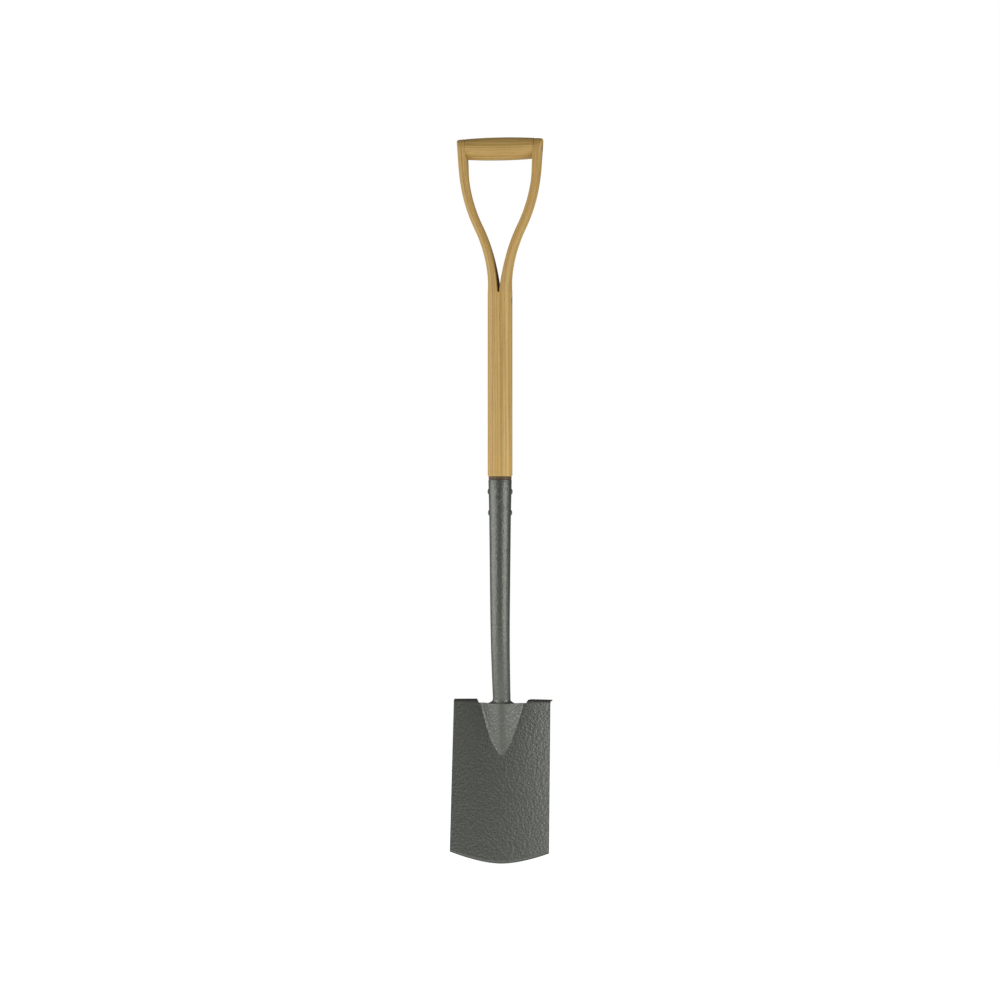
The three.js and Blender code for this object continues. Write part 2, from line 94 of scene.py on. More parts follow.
FROG_TOP = low("weld_bead").z - FIT
TONGUE_END = low("socket").z
MOUTH = high("socket").z
GRIP_LEVEL = middle("hand_grip").z
CROTCH_RIVET_LEVEL = middle("crotch_rivet").z


# ---- Sizes and colours that a user may change ----


def length(name, description, default):
    """A length in metres."""
    return FloatProperty(name=name, description=description, default=default, unit="LENGTH", precision=4)


def turn(name, description, default):
    """An angle, its default given in degrees."""
    return FloatProperty(name=name, description=description, default=math.radians(default), unit="ROTATION")


def plain(name, description, default):
    """A number with no unit."""
    return FloatProperty(name=name, description=description, default=default)


def linear(code):
    """An sRGB hex colour as linear red, green, blue and alpha."""
    channels = [int(code[n : n + 2], 16) / 255 for n in (1, 3, 5)]
    return tuple(c / 12.92 if c <= 0.04045 else ((c + 0.055) / 1.055) ** 2.4 for c in channels) + (1.0,)


def colour(name, description, code):
    """A colour, its default given as sRGB hex."""
    return FloatVectorProperty(
        name=name, description=description, default=linear(code), size=4, subtype="COLOR", min=0, max=1
    )


class SpadeBlade(bpy.types.PropertyGroup):
    """Sizes of the pressed sheet with its frog and treads"""

    tread_height: length("Length", "Cutting edge to the tops of the treads", 228.5 * MM)
    frog_drop: length("Frog drop", "Treads down to the frog's top edge", 4.5 * MM)
    top_width: length("Top width", "Width at the treads", 137.6 * MM)
    edge_width: length("Edge width", "Width at the cutting edge", high("blade").x - low("blade").x - SINK)
    sheet: length("Sheet", "Thickness of the steel sheet", 2 * MM)
    ground_edge: length("Ground edge", "Thickness of the cutting edge", 0.8 * MM)
    grind: length("Grind", "Height of the ground bevel on the face", 3.5 * MM)
    bow: length("Bow", "How far the edge's corners stand above its middle", 16.2 * MM)
    bow_power: plain("Bow power", "2 for a parabola, less for an edge that rises early", 1.7)
    back_set: length("Back set", "How far the face lies behind the handle's axis at the treads", 25 * MM)
    fore_set: length("Fore set", "How far it lies in front of the axis at the cutting edge", 3.5 * MM)
    dish_top: length("Dish at the treads", "Hollow across the width", 8 * MM)
    dish_edge: length("Dish at the edge", "Hollow across the width", 7 * MM)
    tread_depth: length("Tread depth", "How far the treads are turned back", 14.8 * MM)
    tread_bend: length("Tread bend", "Outer radius of the fold", 4.5 * MM)
    tread_gap: length("Tread gap", "Between the treads' inner ends", 67 * MM)
    tread_overhang: length("Tread overhang", "Back corner outside the blade's side", 1.2 * MM)
    tread_slant: length("Tread slant", "How far a tread's inner end slants outwards", 2.5 * MM)
    frog_height: length("Frog height", "How far the rib stands forward", 22 * MM)
    frog_length: length("Frog length", "From its top edge to its tip", 74 * MM)
    frog_width: length("Frog width", "Across its top edge", 61 * MM)
    frog_spread: plain("Frog spread", "1 for straight sides, less for sides that widen early", 0.6)
    frog_rounding: plain("Frog rounding", "Roundness of the ridge, 0 for sharp", 0.48)
    press_radius: length("Press fillet", "Softness of the crease round the frog", 1.6 * MM)


class SpadeSocket(bpy.types.PropertyGroup):
    """Sizes of the tube, its rivets and the weld at its foot"""

    mouth_radius: length("Mouth radius", "Outside radius at the mouth", high("socket").x)
    neck_radius: length("Neck radius", "Outside radius below the rivets", 15.2 * MM)
    neck_depth: length("Neck depth", "From the mouth down to the neck", 54.2 * MM)
    foot_radius: length("Foot radius", "Outside radius at the blade", 12.4 * MM)
    wall: length("Wall", "Thickness of the tube", 1.8 * MM)
    crank: length("Crank", "Height over which the tube bends back", 138 * MM)
    tongue_width: length("Tongue width", "Half the width of the squeezed end", 7 * MM)
    tongue_depth: length("Tongue depth", "Half its thickness", 2.6 * MM)
    cavity: length("Cavity", "How far the bore runs on below the frog's top edge", 22 * MM)
    weld_side: length("Weld at the sides", "Leg of the fillet beside the tube", 7.5 * MM)
    weld_front: length("Weld at the front", "Leg of the fillet in front of the tube", 1.7 * MM)
    weld_rise: length("Weld rise", "Height of the fillet", 6 * MM)
    weld_ripple: length("Weld ripple", "Distance from one ripple to the next", 2.4 * MM)


class SpadeHandle(bpy.types.PropertyGroup):
    """Sizes of the shaft, its two arms and the grip"""

    shaft_radius: length("Shaft radius", "Radius of the round shaft", high("handle_shaft").y)
    neck_radius: length("Neck radius", "Bare wood over the socket's mouth", 16.1 * MM)
    neck_height: length("Neck height", "Mouth to the shoulder", 4.8 * MM)
    shoulder: length("Shoulder", "Chamfer at the foot of the shaft", 1.2 * MM)
    crotch_drop: length("Crotch rivet drop", "Crotch to its rivet", 12 * MM)
    kerf: length("Kerf", "Width of the split at the crotch", 2.4 * MM)
    crotch_bend: length("Crotch bend", "Radius that spreads the arms", 210 * MM)
    shoulder_bend: length("Shoulder bend", "Radius that straightens them", 217 * MM)
    spread: turn("Spread", "How far each arm leans out", 26)
    top_lean: turn("Top lean", "How far it still leans out at the grip", 4)
    arm_thickness: length("Arm thickness", "Across the spade", 11.8 * MM)
    arm_depth: length("Arm depth", "Front to back", 27 * MM)
    arm_thinning: length("Arm thinning", "Length over which the split half thins", 25 * MM)
    arm_fade: length("Arm fade", "Length over which the shaft's depth falls to the arm's", 90 * MM)
    inner_round: length("Inner rounding", "Reach of the rounding of the inner edges", 3.5 * MM)
    rim_round: length("Rim rounding", "Radius of the arms' upper rims", 2 * MM)
    grip_radius: length("Grip radius", "At the middle", high("hand_grip").y)
    grip_end_radius: length("Grip end radius", "Where it meets the arms", 14.5 * MM)
    sides: IntProperty(name="Sides", description="Flats round the shaft", default=64, min=16)


class SpadeRivets(bpy.types.PropertyGroup):
    """Sizes of the fasteners"""

    head_radius: length("Head radius", "Domed head at the socket's side", 3.8 * MM)
    head_height: length("Head height", "Domed head at the socket's side", 1.9 * MM)
    front_radius: length("Front head radius", "Low head on the socket's front", 4.6 * MM)
    front_height: length("Front head height", "Low head on the socket's front", 1.2 * MM)
    shank: length("Shank", "Radius of a socket rivet", 2.4 * MM)
    grip_shank: length("Grip rivet shank", "Radius of the rivet through arms and grip", 2.5 * MM)
    crotch_shank: length("Crotch rivet shank", "Radius of the rivet under the crotch", 2 * MM)
    flush_radius: length("Flush head radius", "Head of a rivet through the wood", 4 * MM)
    flush_height: length("Flush head height", "Head of a rivet through the wood", 1.2 * MM)
    burr_radius: length("Burr radius", "Washer under a flush head", 5 * MM)
    burr_height: length("Burr thickness", "Washer under a flush head", 1 * MM)


class SpadeFinish(bpy.types.PropertyGroup):
    """Colours and pattern sizes"""

    paint: colour("Paint", "Body of the hammered paint", "#62645e")
    paint_vein: colour("Paint vein", "The darker lines between its islands", "#585a55")
    paint_fleck: colour("Paint fleck", "The metal flake on its islands", "#7c7e77")
    # The darker line along the cutting edge is painted shade.
    painted_edge_shade: colour("Paint rim", "The line along the cutting edge", "#2c2d2b")
    island: length("Island", "Size of one island of the hammered pattern", 3.6 * MM)
    early_wood: colour("Early wood", "The open-pored part of a ring", "#ae8b47")
    late_wood: colour("Late wood", "The dense part of a ring", "#cbac68")
    wood_streak: colour("Streak", "Slow bands of warmer wood", "#b48c4a")
    pore: colour("Pore", "Oil-darkened pores", "#7a5427")
    # The dark neck colour is partly painted shade under the shoulder and partly darker wood.
    neck_shade_and_stain: colour("Scorch", "The stained neck over the socket", "#3a2a1c")
    ring: length("Ring", "Width of one growth ring", 3.4 * MM)
    zinc: colour("Zinc", "Plated steel of rivets and burrs", "#a9aaa6")


class SpadeStage(bpy.types.PropertyGroup):
    """Camera, lights and floor"""

    azimuth: turn("Azimuth", "How far the camera stands to the right of the front", 8.5)
    distance: length("Distance", "Camera to the handle's axis", 3.8)
    height: length("Height", "Level that the camera looks at", -0.4769)
    aside: length("Aside", "How far right of the axis it looks", -0.1 * MM)
    lens: FloatProperty(
        name="Lens", description="Focal length in mm", default=97.4, subtype="DISTANCE_CAMERA"
    )
    left_power: FloatProperty(name="Left softbox", description="Power in W", default=98, unit="POWER")
    right_power: FloatProperty(name="Right softbox", description="Power in W", default=72, unit="POWER")
    fill: plain("Fill", "Brightness of the room's soft light", 0.12)


def sizes():
    """The scene's settings, which main has filled from the defaults."""
    return bpy.context.scene.spade


# ---- Small helpers ----


def lerp(a, b, part):
    return a + (b - a) * part


def share(value, start, end):
    return min(1.0, max(0.0, (value - start) / (end - start)))


def smooth(value, start, end):
    part = share(value, start, end)
    return part * part * (3 - 2 * part)


def signed_power(value, power):
    return math.copysign(abs(value) ** power, value)


def start_piece(name):
    """Names the primitive that was just added and opens it for editing."""
    piece = bpy.context.object
    piece.name = name
    piece.data.name = name
    bpy.ops.object.mode_set(mode="EDIT")
    return piece


def pick(kind, test):
    """In edit mode, selects just the vertices, edges or faces that pass the test."""
    mesh = bpy.context.object.data
    bpy.ops.mesh.select_mode(type={"verts": "VERT", "edges": "EDGE", "faces": "FACE"}[kind])
    bpy.ops.mesh.select_all(action="DESELECT")
    cage = bmesh.from_edit_mesh(mesh)
    for item in getattr(cage, kind):
        item.select_set(test(item))
    cage.select_flush_mode()
    bmesh.update_edit_mesh(mesh)


def warp(piece, move):
    """Puts each vertex of a piece where move says."""
    for vertex in piece.data.vertices:
        vertex.co = move(vertex.co)
    piece.data.update()


def unit_tube(name, sides, steps, closed=True):
    """A tube of unit radius that is extruded up +Z, with a ring of vertices at each whole number."""
    bpy.ops.object.select_all(action="DESELECT")
    bpy.ops.mesh.primitive_circle_add(vertices=sides, radius=1, fill_type="NGON" if closed else "NOTHING")
    piece = start_piece(name)
    bpy.ops.mesh.select_mode(type="VERT")
    bpy.ops.mesh.select_all(action="SELECT")
    for _ in range(steps):
        bpy.ops.mesh.extrude_region_move(TRANSFORM_OT_translate={"value": (0, 0, 1)})
    bpy.ops.object.mode_set(mode="OBJECT")
    return piece


def outward(piece):
    """Turns the faces of a closed piece outwards, once its doubles are merged."""
    bpy.context.view_layer.objects.active = piece
    bpy.ops.object.mode_set(mode="EDIT")
    bpy.ops.mesh.select_all(action="SELECT")
    bpy.ops.mesh.remove_doubles(threshold=0.001 * MM)
    bpy.ops.mesh.normals_make_consistent(inside=False)
    bpy.ops.object.mode_set(mode="OBJECT")


def turned(name, profile, along, sides=40, closed=True):
    """A piece turned about the X or Y axis from a profile of (radius, distance along the axis) points."""
    piece = unit_tube(name, sides, len(profile) - 1, closed)

    def move(co):
        radius, reach = profile[round(co.z)]
        if along == "X":
            return Vector((reach, radius * co.x, radius * co.y))
        return Vector((radius * co.x, reach, radius * co.y))

    warp(piece, move)
    outward(piece)
    return piece


def shift(piece, offset):
    """Moves the mesh of a piece and leaves its object at the origin."""
    warp(piece, lambda co: co + Vector(offset))


def add_modifier(piece, kind, **settings):
    """Adds a modifier with its settings and applies it."""
    bpy.ops.object.select_all(action="DESELECT")
    piece.select_set(True)
    bpy.context.view_layer.objects.active = piece
    modifier = piece.modifiers.new(kind.title(), kind)
    for key, value in settings.items():
        setattr(modifier, key, value)
    bpy.ops.object.modifier_apply(modifier=modifier.name)


def finish_piece(piece, node, material, sharp=40):
    """Shades a piece, gives it its material and lets it stand for a node of the frame."""
    bpy.ops.object.select_all(action="DESELECT")
    piece.select_set(True)
    bpy.context.view_layer.objects.active = piece
    bpy.ops.object.shade_smooth_by_angle(angle=math.radians(sharp))
    piece.data.materials.clear()
    piece.data.materials.append(material)
    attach(piece, "root")
    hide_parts(node)


# ---- Materials ----


def add_node(tree, kind, inputs=(), stops=(), **settings):
    """Adds a shader node with its settings. An input is given a value or the socket that feeds it."""
    made = tree.nodes.new("ShaderNode" + kind)
    for key, value in settings.items():
        setattr(made, key, value)
    for key, value in dict(inputs).items():
        if isinstance(value, bpy.types.NodeSocket):
            tree.links.new(value, made.inputs[key])
        else:
            made.inputs[key].default_value = value
    if stops:
        elements = made.color_ramp.elements
        while len(elements) < len(stops):
            elements.new(0.5)
        for element, (place, value) in zip(elements, stops):
            element.position = place
            element.color = value
    return made


def new_material(name):
    """A material and its empty tree, or no tree where the material is there already."""
    existing = bpy.data.materials.get(name)
    if existing:
        return existing, None
    material = bpy.data.materials.new(name)
    material.use_nodes = True
    material.node_tree.nodes.clear()
    return material, material.node_tree


def noise(tree, vector, size, detail=2.0, roughness=0.5, result="Fac"):
    """Noise whose lumps are about as wide as size."""
    inputs = {"Vector": vector, "Scale": 1 / size, "Detail": detail, "Roughness": roughness}
    return add_node(tree, "TexNoise", inputs).outputs[result]


def cells(tree, vector, size, **settings):
    """Distances in a pattern of cells that are about as wide as size."""
    inputs = {"Vector": vector, "Scale": 1 / size}
    return add_node(tree, "TexVoronoi", inputs, **settings).outputs["Distance"]


def mapped(tree, value, start, end, first, last):
    """Takes first at start and last at end, and stays there past them."""
    return add_node(tree, "MapRange", {"Value": value, 1: start, 2: end, 3: first, 4: last}).outputs[0]


def blend(tree, part, first, second):
    """The first colour, or the second where part is 1."""
    return add_node(tree, "Mix", {0: part, 6: first, 7: second}, data_type="RGBA").outputs[2]


def times(tree, vector, factors):
    """A vector with each of its numbers multiplied."""
    return add_node(tree, "VectorMath", {0: vector, 1: factors}, operation="MULTIPLY").outputs[0]


def pushed(tree, vector, by, factors):
    """A vector that noise pushes aside."""
    inputs = {0: by, 1: factors, 2: vector}
    return add_node(tree, "VectorMath", inputs, operation="MULTIPLY_ADD").outputs[0]


def brightened(tree, colour_in, tone):
    """A colour made lighter or darker."""
    return add_node(tree, "VectorMath", {0: colour_in, "Scale": tone}, operation="SCALE").outputs[0]


def product(tree, first, second):
    return add_node(tree, "Math", {0: first, 1: second}, operation="MULTIPLY").outputs[0]


def relief(tree, height, strength, distance, **settings):
    """A surface normal that follows a height."""
    inputs = {"Height": height, "Strength": strength, "Distance": distance}
    return add_node(tree, "Bump", inputs, **settings).outputs[0]


def surface(tree, inputs):
    """Ends a material in one shader."""
    shader = add_node(tree, "BsdfPrincipled", inputs)
    add_node(tree, "OutputMaterial", {"Surface": shader.outputs[0]})


def hammered_paint():
    """Hammered enamel: the flake gathers on islands that stand between fine dark veins.

    To the eye it is a dark grey that glitters in spots, with soft highlights broken up by the islands.
    """
    material, tree = new_material("hammered_enamel")
    if tree is None:
        return material
    finish = sizes().finish
    island = finish.island
    place = add_node(tree, "TexCoord").outputs["Object"]
    wander = noise(tree, place, 1.6 * island, result="Color")
    pulled = pushed(tree, place, wander, (0.8 * island,) * 3)
    mounds = add_node(
        tree,
        "TexVoronoi",
        {"Vector": pulled, "Scale": 1 / island, "Smoothness": 0.5},
        feature="SMOOTH_F1",
    ).outputs["Distance"]
    crown = mapped(tree, cells(tree, pulled, island, feature="DISTANCE_TO_EDGE"), 0.0, 0.3, 0.0, 1.0)
    body = blend(tree, crown, tuple(finish.paint_vein), tuple(finish.paint))
    glitter = mapped(tree, noise(tree, place, 0.5 * MM), 0.52, 0.72, 0.0, 0.5)
    flecked = blend(tree, glitter, body, tuple(finish.paint_fleck))
    # A darker line painted along the cutting edge is painted shade on the edge and its ground bevel.
    rim = add_node(tree, "Attribute", attribute_name="rim").outputs["Fac"]
    rise = mapped(tree, mounds, 0.1, 0.75, 1.0, 0.0)
    surface(
        tree,
        {
            "Base Color": blend(tree, rim, flecked, tuple(finish.painted_edge_shade)),
            "Roughness": mapped(tree, crown, 0.0, 1.0, 0.48, 0.36),
            "Metallic": 0.7,
            "Normal": relief(tree, rise, 0.9, 0.34 * MM),
            "Coat Weight": 0.1,
            "Coat Roughness": 0.25,
        },
    )
    return material


def oiled_ash():
    """Ash, turned or steam bent along its grain, sanded and oiled.

    To the eye it is pale straw with darker open-pored bands that run the length of the piece, crossed by
    slow warm streaks. It is matt with a faint sheen.
    """
    material, tree = new_material("oiled_ash")
    if tree is None:
        return material
    finish = sizes().finish
    grain = add_node(tree, "Attribute", attribute_name="grain").outputs["Vector"]
    # Growth rings lie about a pith that is outside the billet. They wander slowly along the tree.
    wander = noise(tree, times(tree, grain, (1.0, 1.0, 0.06)), 26 * MM, result="Color")
    bent = pushed(tree, grain, wander, (9 * MM, 9 * MM, 0.0))
    flat = times(tree, bent, (1.0, 1.0, 0.0))
    pith = (-72 * MM, 38 * MM, 0.0)
    reach = add_node(tree, "VectorMath", {0: flat, 1: pith}, operation="DISTANCE").outputs["Value"]
    count = product(tree, reach, 1 / finish.ring)
    uneven = add_node(tree, "TexNoise", {"W": count, "Scale": 0.8, "Detail": 1.0}, noise_dimensions="1D")
    spaced = add_node(
        tree, "Math", {0: uneven.outputs["Fac"], 1: 1.3, 2: count}, operation="MULTIPLY_ADD"
    ).outputs[0]
    within = add_node(tree, "Math", {0: spaced}, operation="FRACT").outputs[0]
    early = add_node(
        tree,
        "ValToRGB",
        {"Fac": within},
        stops=[
            (0.0, (0.5, 0.5, 0.5, 1)),
            (0.1, (1, 1, 1, 1)),
            (0.42, (0.35, 0.35, 0.35, 1)),
            (0.8, (0, 0, 0, 1)),
            (1.0, (0.45, 0.45, 0.45, 1)),
        ],
    ).outputs["Color"]
    ringed = blend(tree, early, tuple(finish.late_wood), tuple(finish.early_wood))
    stretched = times(tree, grain, (1.0, 1.0, 0.02))
    streaks = mapped(tree, noise(tree, stretched, 5 * MM, 4.0, 0.6), 0.42, 0.66, 0.0, 0.9)
    streaked = blend(tree, streaks, ringed, tuple(finish.wood_streak))
    fibres = mapped(tree, noise(tree, stretched, 0.9 * MM), 0.3, 0.7, 0.9, 1.08)
    toned = brightened(tree, streaked, fibres)
    # A pore is about 0.3 mm wide and some millimetres long where the surface cuts along it.
    pores = noise(tree, times(tree, grain, (1.0, 1.0, 0.07)), 0.45 * MM, 1.0)
    pore_mask = product(tree, mapped(tree, pores, 0.56, 0.7, 0.0, 1.0), early)
    porous = blend(tree, product(tree, pore_mask, 0.6), toned, tuple(finish.pore))
    # The bare neck over the socket's mouth is painted dark: partly painted shade under the shoulder's
    # ledge, partly darker wood.
    along = add_node(tree, "SeparateXYZ", {0: grain}).outputs["Z"]
    shoulder = MOUTH + sizes().handle.neck_height
    neck_darkening = mapped(tree, along, shoulder, shoulder + 0.6 * MM, 0.92, 0.0)
    surface(
        tree,
        {
            "Base Color": blend(tree, neck_darkening, porous, tuple(finish.neck_shade_and_stain)),
            "Roughness": mapped(tree, early, 0.0, 1.0, 0.56, 0.68),
            "Normal": relief(tree, pore_mask, 0.35, 0.12 * MM, invert=True),
            "Coat Weight": 0.03,
            "Coat Roughness": 0.5,
        },
    )
    return material


def zinc_plated_steel():
    """Zinc-plated mild steel, headed cold: a soft grey shine with fine scratches and cloudy spangle."""
    material, tree = new_material("zinc_plated_steel")
    if tree is None:
        return material
    place = add_node(tree, "TexCoord").outputs["Object"]
    cloud = noise(tree, place, 1.6 * MM, 3.0)
    tone = mapped(tree, cloud, 0.3, 0.7, 0.78, 1.05)
    surface(
        tree,
        {
            "Base Color": brightened(tree, tuple(sizes().finish.zinc)[:3], tone),
            "Roughness": mapped(tree, cloud, 0.3, 0.7, 0.3, 0.46),
            "Metallic": 1.0,
            "Normal": relief(tree, cells(tree, place, 0.9 * MM), 0.2, 0.05 * MM),
        },
    )
    return material


def pale_floor():
    """A matt white studio floor that fades out before its rim."""
    material, tree = new_material("pale_studio_floor")
    if tree is None:
        return material
    place = add_node(tree, "TexCoord").outputs["Object"]
    centred = times(tree, place, (1.0, 1.0, 0.0))
    reach = add_node(tree, "VectorMath", {0: centred}, operation="LENGTH").outputs["Value"]
    matt = add_node(
        tree,
        "BsdfPrincipled",
        {
            "Base Color": linear("#f4f4f2"),
            "Roughness": mapped(tree, noise(tree, place, 4 * MM), 0.3, 0.7, 0.7, 0.85),
            "Emission Color": linear("#ffffff"),
            "Emission Strength": 0.8,
        },
    )
    clear = add_node(tree, "BsdfTransparent")
    fade = mapped(tree, reach, 0.5, 1.7, 0.0, 1.0)
    mixed = add_node(tree, "MixShader", {0: fade, 1: matt.outputs[0], 2: clear.outputs[0]})
    add_node(tree, "OutputMaterial", {"Surface": mixed.outputs[0]})
    return material


# ---- Blade ----

HALF_COLUMNS = 68
GAP_COLUMNS = 33  # of them, from the middle to a tread's inner end
FACE_ROWS = 220  # from the cutting edge to the frog's top edge
NECK_ROWS = 2  # from there to the fold
BEND_ROWS = 8
FLAT_ROWS = 8
ROW_EASE = 1.06  # over 1 draws the rows together at the cutting edge


class BladeForm:
    """The face of the pressed sheet as a function of place."""

    def __init__(self):
        self.s = sizes().blade
        self.edge = FROG_TOP - (self.s.tread_height - self.s.frog_drop)
        self.lean = math.atan2(self.s.back_set + self.s.fore_set, self.s.tread_height)
        self.fold = self.edge + self.s.tread_height - self.s.tread_bend * (1 - math.sin(self.lean))
        self.apex = FROG_TOP - self.s.frog_length

    def half_width(self, z):
        return lerp(self.s.edge_width, self.s.top_width, share(z, self.edge, self.fold)) / 2

    def plain_face(self, x, z):
        """The dished face without its frog."""
        part = (z - self.edge) / (self.fold - self.edge)
        dish = lerp(self.s.dish_edge, self.s.dish_top, min(1, max(0, part)))
        return lerp(-self.s.fore_set, self.s.back_set, part) - dish * (x / self.half_width(z)) ** 2

    def frog_rise(self, x, z):
        """How far the frog stands forward, negative outside it."""
        part = max(0.0, (z - self.apex) / self.s.frog_length)
        reach = self.s.frog_width / 2 * max(part, 1e-4) ** self.s.frog_spread
        rounding = self.s.frog_rounding
        flank = math.hypot(1, rounding)
        across = min(abs(x) / reach, 3)
        return self.s.frog_height * part * (flank - math.hypot(across, rounding)) / (flank - rounding)

    def seat(self, x, z):
        """The face as it was pressed with a sharp crease, which the socket is seated behind."""
        return self.plain_face(x, z) - max(0.0, self.frog_rise(x, z))

    def face(self, x, z):
        """The face with its crease rounded."""
        rise = self.frog_rise(x, z)
        soft = self.s.press_radius * smooth(z, self.apex, self.apex + 0.3 * self.s.frog_length)
        if soft > 0:
            near = max(0.0, soft - abs(rise)) / soft
            rise = max(0.0, rise) + near * near * soft / 4
        return self.plain_face(x, z) - max(0.0, rise)

    def column(self, i, z):
        """The place across of a column of vertices, where one column is each tread's inner end."""
        cells = abs(i)
        gap = self.s.tread_gap / 2 * self.half_width(z) / self.half_width(self.fold)
        if cells <= GAP_COLUMNS:
            return math.copysign(gap * cells / GAP_COLUMNS, i)
        part = (cells - GAP_COLUMNS) / (HALF_COLUMNS - GAP_COLUMNS)
        return math.copysign(lerp(gap, self.half_width(z), part), i)

    def face_point(self, i, k):
        """A vertex below the fold. The ground bevel sets its lowest rows back."""
        if k <= FACE_ROWS:
            z = lerp(self.edge, FROG_TOP, (k / FACE_ROWS) ** ROW_EASE)
        else:
            z = lerp(FROG_TOP, self.fold, (k - FACE_ROWS) / NECK_ROWS)
        x = self.column(i, z)
        settle = 1 - share(z, self.edge, self.apex)
        bowed = z + self.rise_of_edge(x) * settle
        ground = self.ground(z)
        return x, self.face(x, bowed) + ground, bowed

    def rise_of_edge(self, x):
        """How far the cutting edge stands above its middle."""
        return self.s.bow * (abs(x) / self.half_width(self.edge)) ** self.s.bow_power

    def trimmed(self, co):
        """Keeps a vertex of the sheet's back inside the outline of its face, as a shear cuts it."""
        if co.z > self.fold:
            return co.copy()
        half = self.half_width(co.z)
        return Vector((min(half, max(-half, co.x)), co.y, co.z))

    def ground(self, z):
        """How much of the sheet's thickness is ground off at a level."""
        return (self.s.sheet - self.s.ground_edge) * (1 - share(z, self.edge, self.edge + self.s.grind))

    def tread_point(self, i, step):
        """A vertex past the fold, where the sheet is bent back level."""
        x, front, level = self.face_point(i, FACE_ROWS + NECK_ROWS)
        angle = lerp(self.lean, math.pi / 2, min(1, step / BEND_ROWS))
        flat = max(0, step - BEND_ROWS) / FLAT_ROWS
        bend = self.s.tread_bend
        y = front + bend * (math.cos(self.lean) - math.cos(angle)) + flat * (self.s.tread_depth - bend)
        z = level + bend * (math.sin(angle) - math.sin(self.lean))
        return x * (1 + flat * self.s.tread_overhang / self.half_width(self.fold)), y, z

    def slanted(self, i, point):
        """Leans the inner end of a tread outwards above the frog's top edge."""
        x, y, z = point
        if abs(i) < GAP_COLUMNS or z <= FROG_TOP:
            return Vector(point)
        up = (z - FROG_TOP) / (self.edge + self.s.tread_height - FROG_TOP)
        back = share(y, self.s.back_set, self.s.back_set + self.s.tread_depth)
        out = self.s.tread_slant * (up + back)
        fade = 1 - (abs(i) - GAP_COLUMNS) / (HALF_COLUMNS - GAP_COLUMNS)
        return Vector((x + math.copysign(out * fade, i), y, z))


class SPADE_OT_blade(bpy.types.Operator):
    """Presses the blade from a sheet, with its frog, dish, turned-back treads and ground edge"""

    bl_idname = "spade.blade"
    bl_label = "Blade"

    def execute(self, context):
        form = BladeForm()
        columns = 2 * HALF_COLUMNS
        rows = FACE_ROWS + NECK_ROWS
        bpy.ops.object.select_all(action="DESELECT")
        bpy.ops.mesh.primitive_grid_add(x_subdivisions=columns, y_subdivisions=rows, size=1)
        piece = start_piece("pressed_blade")
        bpy.ops.mesh.select_all(action="SELECT")
        bpy.ops.transform.resize(value=(columns, rows, 1), center_override=(0, 0, 0))
        bpy.ops.transform.translate(value=(0, rows / 2, 0))
        pick(
            "faces",
            lambda f: f.calc_center_median().y > FACE_ROWS and abs(f.calc_center_median().x) < GAP_COLUMNS,
        )
        bpy.ops.mesh.delete(type="FACE")
        pick("verts", lambda v: v.co.y > rows - 0.5 and abs(v.co.x) > GAP_COLUMNS - 0.5)
        for _ in range(BEND_ROWS + FLAT_ROWS):
            bpy.ops.mesh.extrude_region_move(TRANSFORM_OT_translate={"value": (0, 1, 0)})
        bpy.ops.object.mode_set(mode="OBJECT")
        weights = {}

        def move(co):
            i, k = round(co.x), round(co.y)
            point = form.face_point(i, k) if k <= rows else form.tread_point(i, k - rows)
            return form.slanted(i, point)

        for vertex in piece.data.vertices:
            up = min(round(vertex.co.y), FACE_ROWS) / FACE_ROWS
            level = lerp(form.edge, FROG_TOP, up**ROW_EASE)
            weights[vertex.index] = 1 - form.ground(level) / form.s.sheet
        warp(piece, move)
        group = piece.vertex_groups.new(name="sheet")
        for index, weight in weights.items():
            group.add([index], weight, "REPLACE")
        add_modifier(
            piece,
            "SOLIDIFY",
            thickness=form.s.sheet,
            offset=-1,
            use_even_offset=True,
            vertex_group="sheet",
        )
        warp(piece, form.trimmed)
        add_modifier(
            piece, "BEVEL", width=0.3 * MM, segments=2, limit_method="ANGLE", angle_limit=math.radians(55)
        )
        self.mark_edge_shade(piece, form)
        finish_piece(piece, "blade", hammered_paint(), sharp=35)
        return {"FINISHED"}

    def mark_edge_shade(self, piece, form):
        """Stores how near each vertex is to the cutting edge, for the painted shade along it."""
        layer = piece.data.attributes.new("rim", "FLOAT", "POINT")
        for vertex, item in zip(piece.data.vertices, layer.data):
            above = vertex.co.z - form.edge - form.rise_of_edge(vertex.co.x)
            item.value = 1 - smooth(above, 0, 0.7 * form.s.grind)


# ---- Socket, weld and rivets ----


class SocketForm:
    """The outside of the cranked tube as a function of its level."""

    def __init__(self):
        self.s = sizes().socket
        self.blade = BladeForm()
        self.neck = MOUTH - self.s.neck_depth
        self.set_back = high("socket").y - self.s.foot_radius

    def radius(self, z):
        if z > self.neck:
            return lerp(self.s.neck_radius, self.s.mouth_radius, share(z, self.neck, MOUTH))
        return lerp(self.s.foot_radius, self.s.neck_radius, share(z, FROG_TOP, self.neck))

    def centre(self, z):
        """How far the tube's middle lies behind the handle's axis. Its lower end clears the frog."""
        if z > FROG_TOP:
            return self.set_back * share(z, FROG_TOP + self.s.crank, FROG_TOP) ** 2
        steps = 16
        wide, deep = self.squeezed(z)
        touches = []
        for n in range(steps + 1):
            bulge = deep * math.sqrt(1 - (n / steps) ** 2)
            touches.append(self.blade.seat(wide * n / steps, z) + bulge)
        return max(touches) + self.blade.s.sheet / math.cos(self.blade.lean) + FIT

    def squeezed(self, z):
        """Half the width and depth of the tube at or below the frog's top edge."""
        part = share(z, FROG_TOP, TONGUE_END)
        foot = self.s.foot_radius
        return lerp(foot, self.s.tongue_width, part), lerp(foot, self.s.tongue_depth, part)

    def point(self, co, radius, z):
        wide, deep = self.squeezed(z)
        foot = self.s.foot_radius
        return Vector((co.x * radius * wide / foot, co.y * radius * deep / foot + self.centre(z), z))


